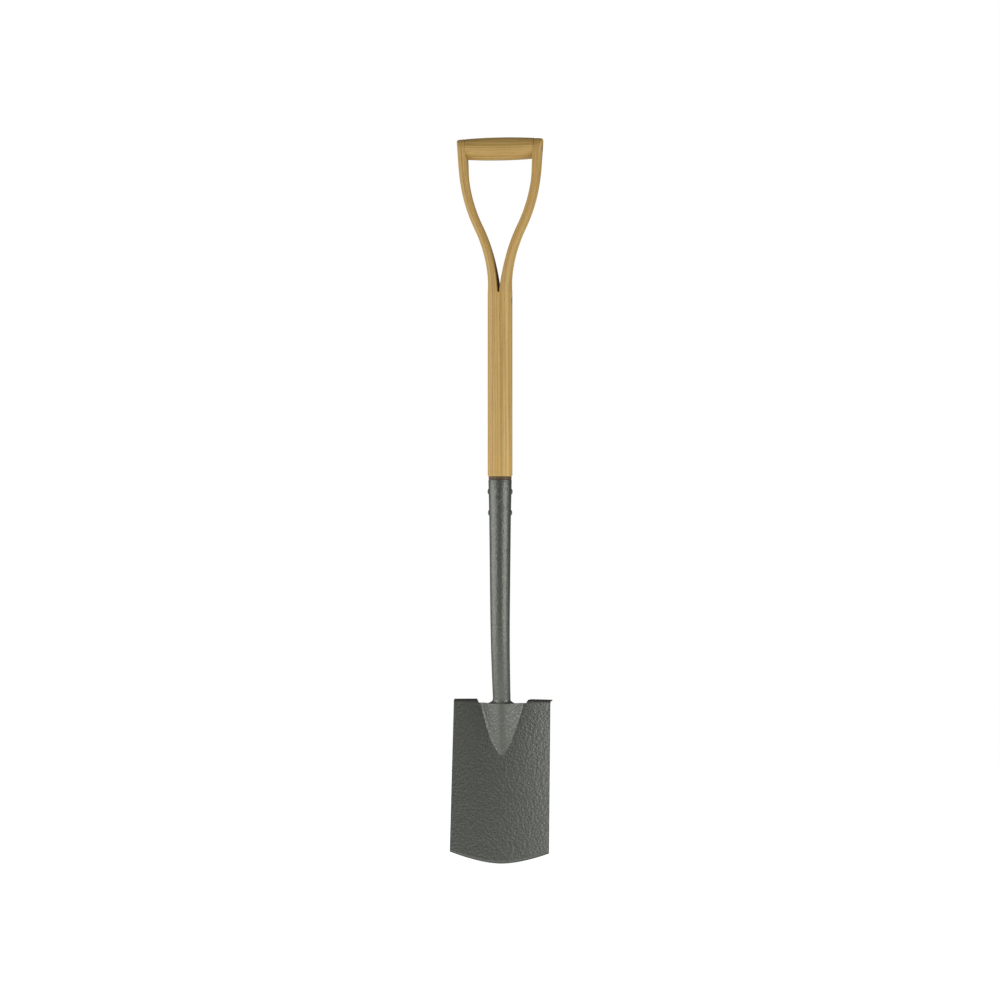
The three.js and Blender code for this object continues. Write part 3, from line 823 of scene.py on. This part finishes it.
class SPADE_OT_socket(bpy.types.Operator):
    """Draws the tapered tube, cranks it back and squeezes its lower end behind the frog"""

    bl_idname = "spade.socket"
    bl_label = "Socket"

    def execute(self, context):
        form = SocketForm()
        wall = form.s.wall
        tongue_rings, crank_rings = 14, 36
        tongue = [lerp(TONGUE_END, FROG_TOP, n / tongue_rings) for n in range(tongue_rings)]
        crank = [FROG_TOP + form.s.crank * n / crank_rings for n in range(crank_rings + 1)]
        straight = [form.neck - 12 * MM, form.neck, MOUTH - 20 * MM]
        outside = [(form.radius(z), z) for z in tongue + crank + straight]
        # The tongue's end is pinched round and the mouth has a softened rim.
        foot = form.s.foot_radius
        pinch = [(0.72 * foot, TONGUE_END), (0.93 * foot, TONGUE_END + 0.4 * MM)]
        outside = pinch + [(form.radius(z), max(z, TONGUE_END + 1.4 * MM)) for _, z in outside]
        mouth = form.s.mouth_radius
        rim = [
            (mouth, MOUTH - 0.6 * MM),
            (mouth - 0.2 * MM, MOUTH - 0.15 * MM),
            (mouth - 0.6 * MM, MOUTH),
            (mouth - wall + 0.2 * MM, MOUTH),
            (mouth - wall, MOUTH - 0.2 * MM),
        ]
        bore = [form.neck] + crank[::-3] + [FROG_TOP - 8 * MM, FROG_TOP - form.s.cavity]
        inside = [(form.radius(z) - wall, z) for z in bore]
        rings = outside + rim + inside
        piece = unit_tube("drawn_socket", 72, len(rings) - 1)
        warp(piece, lambda co: form.point(co, *rings[round(co.z)]))
        outward(piece)
        finish_piece(piece, "socket", hammered_paint(), sharp=40)
        return {"FINISHED"}


class SPADE_OT_weld(bpy.types.Operator):
    """Lays the rippled fillet of weld round the front of the socket's foot"""

    bl_idname = "spade.weld"
    bl_label = "Weld"

    def execute(self, context):
        form = SocketForm()
        reach = math.radians(95)
        steps = 150
        lips = 12  # points up the fillet's face, and as many back down its hidden side
        piece = unit_tube("weld_fillet", 2 * lips, steps)
        ripples = 2 * reach * form.s.foot_radius / form.s.weld_ripple

        def move(co):
            part = co.z / steps
            angle = lerp(-reach, reach, part)
            n = round(math.atan2(co.y, co.x) / math.pi * lips) % (2 * lips)
            face = n < lips
            up = (n if face else 2 * lips - 1 - n) / (lips - 1)
            ends = smooth(min(part, 1 - part), 0, 0.07)
            leg = lerp(form.s.weld_front, form.s.weld_side, math.sin(angle) ** 2) * ends
            wave = 1 + 0.07 * abs(math.sin(math.pi * ripples * part)) * ends
            rise = form.s.weld_rise * (0.35 + 0.65 * ends)
            z = FROG_TOP - SINK + rise * up
            thick = (0.15 * MM + leg * (1 - up) ** 2.2 * wave) if face else -2 * SINK
            radius = form.radius(z) + thick
            front = form.centre(max(z, FROG_TOP + 1e-6)) - radius * math.cos(angle)
            return Vector((radius * math.sin(angle), front, z))

        warp(piece, move)
        outward(piece)
        finish_piece(piece, "weld_bead", hammered_paint(), sharp=60)
        return {"FINISHED"}


def dome(radius, height, seat, steps=10):
    """Half the outline of a domed head, from its rim to its crown."""
    upright = 0.15  # share of the height that is a straight lip
    lip = [(radius, seat), (radius, seat + upright * height)]
    arc = []
    for n in range(1, steps):
        angle = math.pi / 2 * n / steps
        arc.append((radius * math.cos(angle), seat + height * lerp(upright, 1, math.sin(angle))))
    return lip + arc + [(0.04 * radius, seat + height)]


class SPADE_OT_socket_rivets(bpy.types.Operator):
    """Heads the three painted rivets that hold the tang in the socket"""

    bl_idname = "spade.socket_rivets"
    bl_label = "Socket rivets"

    def execute(self, context):
        form = SocketForm()
        rivets = sizes().rivets
        for node in ("socket_rivet_upper", "socket_rivet_lower", "socket_rivet_front"):
            level = middle(node).z
            front = node.endswith("front")
            radius = rivets.front_radius if front else rivets.head_radius
            height = rivets.front_height if front else rivets.head_height
            seat = form.radius(level) - 2 * SINK
            half = [(rivets.shank, seat)] + dome(radius, height, seat)
            profile = [(r, -x) for r, x in reversed(half)] + half
            piece = turned("painted_" + node, profile, "Y" if front else "X")
            shift(piece, (0, 0, level))
            finish_piece(piece, node, hammered_paint(), sharp=50)
        return {"FINISHED"}


# ---- Handle ----


class HandleForm:
    """The steam-bent arms as stations along their centre line, and the grip's barrel."""

    BEND_STEPS = 18
    STRAIGHT_STEPS = 3

    def __init__(self):
        self.s = sizes().handle
        self.crotch = CROTCH_RIVET_LEVEL + self.s.crotch_drop
        self.start = self.s.kerf / 2 + self.half_thickness(0)
        self.stations = self.make_stations()
        foot = self.stations[-1]
        slope = math.tan(self.s.top_lean)
        self.at_grip = foot["x"] + (GRIP_LEVEL - foot["z"]) * slope
        self.inner_face = self.at_grip - self.s.arm_thickness / 2 / math.cos(self.s.top_lean)
        self.outer_face = self.at_grip + self.s.arm_thickness / 2 / math.cos(self.s.top_lean)
        self.stations += self.crown_stations()

    def half_thickness(self, reach):
        split = self.s.shaft_radius - self.s.kerf / 2
        return lerp(self.s.arm_thickness, split, math.exp(-reach / self.s.arm_thinning)) / 2

    def barrel(self, x):
        """The grip's radius, whose arc also rounds the arms' tops."""
        drop = self.s.grip_radius - self.s.grip_end_radius
        return self.s.grip_radius - drop * (x / self.inner_face) ** 2

    def make_stations(self):
        """Two bends and a straight length, up to just under the grip's axis."""
        steps = self.BEND_STEPS
        spread, top = self.s.spread, self.s.top_lean
        first, second = self.s.crotch_bend, self.s.shoulder_bend
        stations = []
        for n in range(steps + 1):
            angle = spread * n / steps
            x = self.start + first * (1 - math.cos(angle))
            z = self.crotch + first * math.sin(angle)
            stations.append({"x": x, "z": z, "angle": angle, "reach": first * angle})
        base = stations[-1]
        for n in range(1, steps + 1):
            angle = lerp(spread, top, n / steps)
            x = base["x"] + second * (math.cos(angle) - math.cos(spread))
            z = base["z"] + second * (math.sin(spread) - math.sin(angle))
            reach = base["reach"] + second * (spread - angle)
            stations.append({"x": x, "z": z, "angle": angle, "reach": reach})
        base = stations[-1]
        rise = GRIP_LEVEL - 3 * MM - base["z"]
        for n in range(1, self.STRAIGHT_STEPS + 1):
            up = rise * n / self.STRAIGHT_STEPS
            reach = base["reach"] + up / math.cos(top)
            x = base["x"] + up * math.tan(top)
            stations.append({"x": x, "z": base["z"] + up, "angle": top, "reach": reach})
        return stations

    def crown_stations(self):
        """Rings that round the arm's upper rim and close its top on the barrel's surface."""
        base = self.stations[-1]
        radius = self.s.rim_round
        crown = []
        for degrees in (0, 22.5, 45, 67.5, 90):
            angle = math.radians(degrees)
            inward, drop = radius * (1 - math.cos(angle)), radius * (1 - math.sin(angle))
            crown.append(dict(base, inward=inward, drop=drop, keep=1.0))
        for keep in (0.86, 0.7, 0.54, 0.38, 0.22, 0.08):
            crown.append(dict(base, inward=radius, drop=0.0, keep=keep))
        return crown

    def arm_point(self, side, turned_by, index):
        """A vertex of the arm on one side, at an angle round its section."""
        station = self.stations[index]
        reach = station["reach"]
        half = self.half_thickness(reach)
        formed = smooth(reach, 0, self.s.arm_fade)
        # Near the grip the arm is as deep as the grip's ends, and its inner edges are square to seat them.
        start = GRIP_LEVEL - 3.2 * self.s.grip_radius
        seated = smooth(station["z"], start, GRIP_LEVEL - self.s.grip_radius)
        power = 2 / (lerp(2, 2.7, formed) + 1.3 * seated)
        inner = lerp(0, self.s.inner_round, formed) * (1 - 0.9 * seated)
        depth = lerp(self.s.shaft_radius, self.s.arm_depth / 2, formed)
        depth = lerp(depth, self.s.grip_end_radius - 0.2 * MM, seated)
        u, v = math.cos(turned_by), math.sin(turned_by)
        out = inner - half + (2 * half - inner if u > 0 else inner) * signed_power(u, power)
        y = depth * signed_power(v, power)
        lean = station["angle"]
        if "drop" not in station:
            x = station["x"] + out * math.cos(lean)
            return Vector((side * x, y, station["z"] - out * math.sin(lean)))
        out *= station["keep"] * (half - station["inward"]) / half
        y *= station["keep"] * (depth - station["inward"]) / depth
        flat = self.at_grip + out / math.cos(lean)
        up = math.sqrt(max(0.0, self.barrel(flat) ** 2 - y * y)) - station["drop"]
        return Vector((side * (flat + up * math.tan(lean)), y, GRIP_LEVEL + up))

    def unbent(self, co):
        """Where a point of the handle lay in the straight billet before the arms were bent."""
        if co.z <= self.crotch:
            return co.copy()
        side = math.copysign(1, co.x)
        place = Vector((abs(co.x), co.z))
        best = None
        for a, b in zip(self.stations, self.stations[1:]):
            if "drop" in b:
                break
            start, end = Vector((a["x"], a["z"])), Vector((b["x"], b["z"]))
            step = end - start
            part = (place - start).dot(step) / step.length_squared
            last = b is self.stations[2 * self.BEND_STEPS + self.STRAIGHT_STEPS]
            part = max(0.0, part if last else min(1.0, part))
            gap = (place - start - step * part).length
            if best is None or gap < best[0]:
                lean = lerp(a["angle"], b["angle"], min(1.0, part))
                off = place - start - step * part
                out = off.x * math.cos(lean) - off.y * math.sin(lean)
                best = (gap, out, lerp(a["reach"], b["reach"], part))
        return Vector((side * (self.start + best[1]), co.y, self.crotch + best[2]))


def set_grain(piece, lay):
    """Stores where each vertex lay in the wood, along Z of the tree, for the grain to follow."""
    layer = piece.data.attributes.new("grain", "FLOAT_VECTOR", "POINT")
    for vertex, item in zip(piece.data.vertices, layer.data):
        item.vector = lay(vertex.co)


class SPADE_OT_handle(bpy.types.Operator):
    """Turns the shaft, splits it at the crotch and bends its two halves out to the grip"""

    bl_idname = "spade.handle"
    bl_label = "Handle"

    KERF_CUTS = 31  # points added along each side of the kerf

    def execute(self, context):
        form = HandleForm()
        piece = self.shaft(form)
        self.split(form)
        self.bend(form, 1)
        self.bend(form, -1)
        bpy.ops.object.mode_set(mode="OBJECT")
        self.place(piece, form)
        outward(piece)
        self.sink_wells(piece, form)
        set_grain(piece, form.unbent)
        finish_piece(piece, "handle_shaft", oiled_ash(), sharp=38)
        return {"FINISHED"}

    def shaft(self, form):
        """The round shaft on its neck and the stub of its tang, left open for editing."""
        socket = SocketForm()
        s = form.s
        bore = socket.radius(MOUTH) - socket.s.wall - FIT
        shoulder = MOUTH + s.neck_height
        rings = [
            (bore - 1.5 * MM, MOUTH - 40 * MM),
            (bore, MOUTH + 0.1 * MM),
            (s.neck_radius - 0.4 * MM, MOUTH + 0.1 * MM),
            (s.neck_radius, MOUTH + 0.5 * MM),
            (s.neck_radius, shoulder),
            (s.shaft_radius - s.shoulder, shoulder + 0.1 * MM),
            (s.shaft_radius - 0.35 * s.shoulder, shoulder + 0.8 * s.shoulder),
            (s.shaft_radius, shoulder + 2 * s.shoulder),
            (s.shaft_radius, lerp(shoulder, form.crotch, 0.33)),
            (s.shaft_radius, lerp(shoulder, form.crotch, 0.66)),
            (s.shaft_radius, form.crotch - 1.5 * MM),
            (s.shaft_radius, form.crotch),
        ]
        piece = unit_tube("ash_handle", s.sides, len(rings) - 1)

        def move(co):
            radius, level = rings[round(co.z)]
            return Vector((radius * co.x, radius * co.y, level))

        warp(piece, move)
        bpy.context.view_layer.objects.active = piece
        bpy.ops.object.mode_set(mode="EDIT")
        return piece

    def split(self, form):
        """Cuts the top face into two halves and the kerf, and gives the kerf's sides enough points."""
        half = form.s.kerf / 2
        top = form.crotch - 1e-6
        for side in (1, -1):
            pick("faces", lambda f: f.calc_center_median().z > top)
            bpy.ops.mesh.bisect(plane_co=(side * half, 0, 0), plane_no=(1, 0, 0))
        for side in (1, -1):
            pick(
                "edges",
                lambda e: all(v.co.z > top and abs(v.co.x - side * half) < 1e-6 for v in e.verts),
            )
            bpy.ops.mesh.subdivide(number_cuts=self.KERF_CUTS)
        mesh = bpy.context.object.data
        cage = bmesh.from_edit_mesh(mesh)
        layer = cage.verts.layers.float_vector.new("turn")
        wide = form.s.shaft_radius - half
        for side in (1, -1):
            rim = [v for v in cage.verts if v.co.z > top and side * v.co.x > half - 1e-6]
            chord = sorted((v for v in rim if abs(side * v.co.x - half) < 1e-6), key=lambda v: v.co.y)
            for v in rim:
                angle = math.atan2(v.co.y / form.s.shaft_radius, max(0.0, side * v.co.x - half) / wide)
                v[layer] = (angle, side, 0)
            for n, v in enumerate(chord):
                v[layer] = (-math.pi / 2 - math.pi * n / (len(chord) - 1), side, 0)
        bmesh.update_edit_mesh(mesh)

    def bend(self, form, side):
        """Extrudes one half from station to station."""
        mesh = bpy.context.object.data
        top = form.crotch - 1e-6
        half = form.s.kerf / 2
        pick("faces", lambda f: f.calc_center_median().z > top and side * f.calc_center_median().x > half)
        for index in range(1, len(form.stations)):
            bpy.ops.mesh.extrude_region_move(TRANSFORM_OT_translate={"value": (0, 0, 1 * MM)})
            cage = bmesh.from_edit_mesh(mesh)
            layer = cage.verts.layers.float_vector["turn"]
            for v in cage.verts:
                if v.select:
                    v[layer] = (v[layer][0], side, index)
            bmesh.update_edit_mesh(mesh)

    def place(self, piece, form):
        """Puts the vertices of both arms at their stations."""
        turns = piece.data.attributes["turn"]
        for vertex, item in zip(piece.data.vertices, turns.data):
            angle, side, index = item.vector
            if side:
                vertex.co = form.arm_point(round(side), angle, round(index))
        piece.data.attributes.remove(turns)
        piece.data.update()

    def sink_wells(self, piece, form):
        """Counterbores the wood for the burrs and heads of the two flush rivets."""
        rivets = sizes().rivets
        sink = rivets.burr_height + rivets.flush_height + 3 * FIT
        depth = 20 * MM
        # The cutter would drop the narrow many-sided faces beside the kerf.
        add_modifier(piece, "TRIANGULATE", quad_method="BEAUTY", ngon_method="BEAUTY")
        places = [(form.outer_face, GRIP_LEVEL), (form.s.shaft_radius, CROTCH_RIVET_LEVEL)]
        for face, level in places:
            for side in (1, -1):
                bpy.ops.object.select_all(action="DESELECT")
                bpy.ops.mesh.primitive_cylinder_add(
                    vertices=48,
                    radius=rivets.burr_radius + FIT,
                    depth=depth,
                    location=(side * (face - sink + depth / 2), 0, level),
                    rotation=(0, math.pi / 2, 0),
                )
                cutter = bpy.context.object
                add_modifier(piece, "BOOLEAN", operation="DIFFERENCE", solver="EXACT", object=cutter)
                bpy.data.objects.remove(cutter, do_unlink=True)


class SPADE_OT_grip(bpy.types.Operator):
    """Turns the barrel-shaped cross grip and cuts its ends to the slant of the arms"""

    bl_idname = "spade.grip"
    bl_label = "Grip"

    def execute(self, context):
        form = HandleForm()
        steps = 40
        piece = unit_tube("ash_grip", form.s.sides, steps)

        def move(co):
            part = 2 * co.z / steps - 1
            radius = form.barrel(part * form.inner_face)
            y, up = radius * co.y, radius * co.x
            end = form.inner_face - 0.4 * SINK + up * math.tan(form.s.top_lean)
            return Vector((part * end, y, GRIP_LEVEL + up))

        warp(piece, move)
        outward(piece)
        # This blank was sawn beside the handle's, so its rings lie another way.
        set_grain(piece, lambda co: Vector((co.z - GRIP_LEVEL + 31 * MM, co.y - 12 * MM, co.x)))
        finish_piece(piece, "hand_grip", oiled_ash(), sharp=40)
        return {"FINISHED"}


class SPADE_OT_flush_rivets(bpy.types.Operator):
    """Heads the two rivets through the wood over their burrs"""

    bl_idname = "spade.flush_rivets"
    bl_label = "Flush rivets"

    def execute(self, context):
        form = HandleForm()
        rivets = sizes().rivets
        for place, face, level, shank in (
            ("grip", form.outer_face, GRIP_LEVEL, rivets.grip_shank),
            ("crotch", form.s.shaft_radius, CROTCH_RIVET_LEVEL, rivets.crotch_shank),
        ):
            crown = face - FIT
            seat = crown - rivets.flush_height
            radius = rivets.flush_radius
            half = [
                (shank, seat),
                (radius - 0.15 * MM, seat),
                (radius, seat + 0.15 * MM),
                (radius, crown - 0.5 * MM),
                (radius - 0.15 * MM, crown - 0.2 * MM),
                (radius - 0.55 * MM, crown - 0.05 * MM),
                (0.5 * radius, crown),
                (0.04 * radius, crown),
            ]
            profile = [(r, -x) for r, x in reversed(half)] + half
            piece = turned(place + "_rivet_steel", profile, "X")
            shift(piece, (0, 0, level))
            finish_piece(piece, place + "_rivet", zinc_plated_steel())
            for side, end in ((1, "right"), (-1, "left")):
                washer = self.burr(f"{place}_burr_{end}_steel", rivets, shank + FIT)
                shift(washer, (side * (seat - FIT - rivets.burr_height / 2), 0, level))
                finish_piece(washer, f"{place}_burr_{end}", zinc_plated_steel())
        return {"FINISHED"}

    def burr(self, name, rivets, hole):
        """One washer at the origin, with softened rims."""
        half = rivets.burr_height / 2
        edge = rivets.burr_radius
        ring = [
            (hole, half),
            (hole, -half),
            (edge - 0.15 * MM, -half),
            (edge, -half + 0.15 * MM),
            (edge, half - 0.25 * MM),
            (edge - 0.25 * MM, half),
            (hole, half),
        ]
        return turned(name, ring, "X", closed=False)


# ---- Stage ----


class SPADE_OT_stage(bpy.types.Operator):
    """Sets up the pale floor, the softboxes and the camera"""

    bl_idname = "spade.stage"
    bl_label = "Stage"

    def execute(self, context):
        stage = sizes().stage
        scene = context.scene
        scene.view_settings.view_transform = "Standard"
        self.floor()
        self.room(scene, stage.fill)
        self.softbox("softbox_left", -66, 4.2, stage.left_power)
        self.softbox("softbox_right", 64, 2.3, stage.right_power)
        self.camera(scene, stage)
        return {"FINISHED"}

    def floor(self):
        bpy.ops.object.select_all(action="DESELECT")
        bpy.ops.mesh.primitive_circle_add(
            vertices=128, radius=1.8, fill_type="NGON", location=(0, 0, CAD_BOX[0].z - 0.1 * MM)
        )
        piece = start_piece("studio_floor")
        bpy.ops.mesh.select_all(action="SELECT")
        for _ in range(3):
            bpy.ops.mesh.inset(thickness=0.5)
        bpy.ops.object.mode_set(mode="OBJECT")
        bpy.ops.object.transform_apply(location=True, rotation=False, scale=False)
        piece.data.materials.append(pale_floor())

    def room(self, scene, fill):
        """White to look at, and a dim even light on the object."""
        world = bpy.data.worlds.new("white_room")
        world.use_nodes = True
        scene.world = world
        tree = world.node_tree
        tree.nodes.clear()
        seen = add_node(tree, "LightPath").outputs["Is Camera Ray"]
        strength = add_node(tree, "MapRange", {"Value": seen, 1: 0.0, 2: 1.0, 3: fill, 4: 1.0}).outputs[0]
        light = add_node(tree, "Background", {"Color": (1, 1, 1, 1), "Strength": strength})
        add_node(tree, "OutputWorld", {"Surface": light.outputs[0]})

    def softbox(self, name, azimuth, width, power):
        """A soft light of that width in metres, turned to the handle from an angle in degrees."""
        angle = math.radians(azimuth)
        away, height, lift = 3, 2.6, 0.2
        place = (away * math.sin(angle), -away * math.cos(angle), sizes().stage.height + lift)
        data = bpy.data.lights.new(name, "AREA")
        data.shape = "RECTANGLE"
        data.size, data.size_y = width, height
        data.energy = power
        lamp = bpy.data.objects.new(name, data)
        bpy.context.collection.objects.link(lamp)
        lamp.location = place
        aim = Vector((0, 0, sizes().stage.height)) - Vector(place)
        lamp.rotation_euler = aim.to_track_quat("-Z", "Y").to_euler()

    def camera(self, scene, stage):
        data = bpy.data.cameras.new("camera")
        data.lens = stage.lens
        data.clip_end = 30
        data.dof.use_dof = False
        eye = bpy.data.objects.new("camera", data)
        bpy.context.collection.objects.link(eye)
        target = Vector((stage.aside, 0, stage.height))
        back = Vector((math.sin(stage.azimuth), -math.cos(stage.azimuth), 0))
        eye.location = target + back * stage.distance
        eye.rotation_euler = (-back).to_track_quat("-Z", "Y").to_euler()
        scene.camera = eye


# ---- Add-on ----


class SpadeSettings(bpy.types.PropertyGroup):
    """All of the spade's sizes, colours and lights"""

    blade: PointerProperty(type=SpadeBlade)
    socket: PointerProperty(type=SpadeSocket)
    handle: PointerProperty(type=SpadeHandle)
    rivets: PointerProperty(type=SpadeRivets)
    finish: PointerProperty(type=SpadeFinish)
    stage: PointerProperty(type=SpadeStage)


OPERATORS = (
    SPADE_OT_stage,
    SPADE_OT_blade,
    SPADE_OT_socket,
    SPADE_OT_weld,
    SPADE_OT_socket_rivets,
    SPADE_OT_handle,
    SPADE_OT_grip,
    SPADE_OT_flush_rivets,
)


class SPADE_PT_panel(bpy.types.Panel):
    """Lists the spade's pieces and their settings"""

    bl_idname = "SPADE_PT_panel"
    bl_label = "Border Spade"
    bl_space_type = "VIEW_3D"
    bl_region_type = "UI"
    bl_category = "Spade"

    def draw(self, context):
        for operator in OPERATORS:
            self.layout.operator(operator.bl_idname)
        settings = context.scene.spade
        for name in ("blade", "socket", "handle", "rivets", "finish", "stage"):
            box = self.layout.box()
            box.label(text=name.title())
            group = getattr(settings, name)
            for key in type(group).__annotations__:
                box.prop(group, key)


CLASSES = (
    SpadeBlade,
    SpadeSocket,
    SpadeHandle,
    SpadeRivets,
    SpadeFinish,
    SpadeStage,
    SpadeSettings,
    *OPERATORS,
    SPADE_PT_panel,
)


def register():
    for item in CLASSES:
        bpy.utils.register_class(item)
    bpy.types.Scene.spade = PointerProperty(type=SpadeSettings)


def unregister():
    del bpy.types.Scene.spade
    for item in reversed(CLASSES):
        bpy.utils.unregister_class(item)


def main():
    register()
    bpy.ops.spade.stage()
    bpy.ops.spade.blade()
    bpy.ops.spade.socket()
    bpy.ops.spade.weld()
    bpy.ops.spade.socket_rivets()
    bpy.ops.spade.handle()
    bpy.ops.spade.grip()
    bpy.ops.spade.flush_rivets()


if __name__ == "__main__":
    main()
